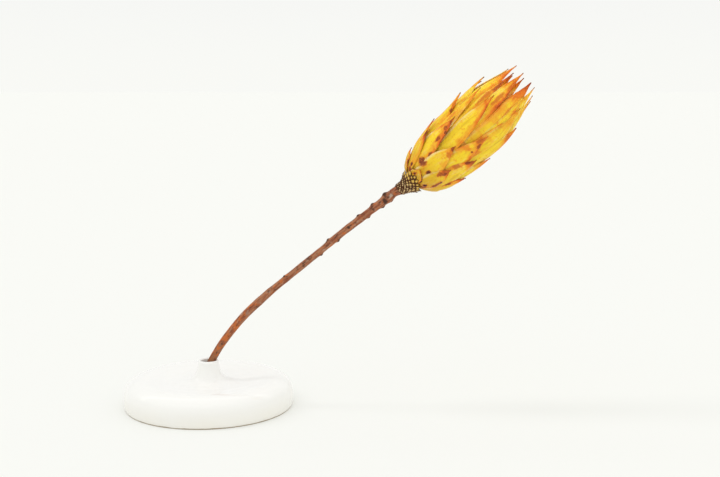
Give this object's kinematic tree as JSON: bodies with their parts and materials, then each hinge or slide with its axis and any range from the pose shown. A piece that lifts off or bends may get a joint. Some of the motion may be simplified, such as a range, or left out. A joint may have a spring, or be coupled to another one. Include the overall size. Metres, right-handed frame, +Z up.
{
  "type": "dried protea flower in a low single-stem vase",
  "caption": "Dried sugarbush protea with a closed cone of pointed bracts on a bent woody stem, leaning out of a low round glazed vase with a small neck.",
  "frame": {"origin": "centre of the vase's flat foot, on the surface that it stands on", "axes": "+Z up along the vase's axis, +X towards the side that the flower leans to"},
  "size_m": [0.2673, 0.1112, 0.2236],
  "materials": {
    "glaze": "glossy white glaze over cast stoneware",
    "bark": "dry reddish-brown bark with grey streaks and dark leaf scars",
    "scales": "dry cream scales with dark brown edges",
    "bract": "dry papery bracts, vivid yellow turning orange and red-brown at tips and edges"
  },
  "bodies": {
    "root": {"vase": "glaze", "stem": "bark", "basal_scales": "scales", "bracts": "bract"}
  },
  "joints": []
}
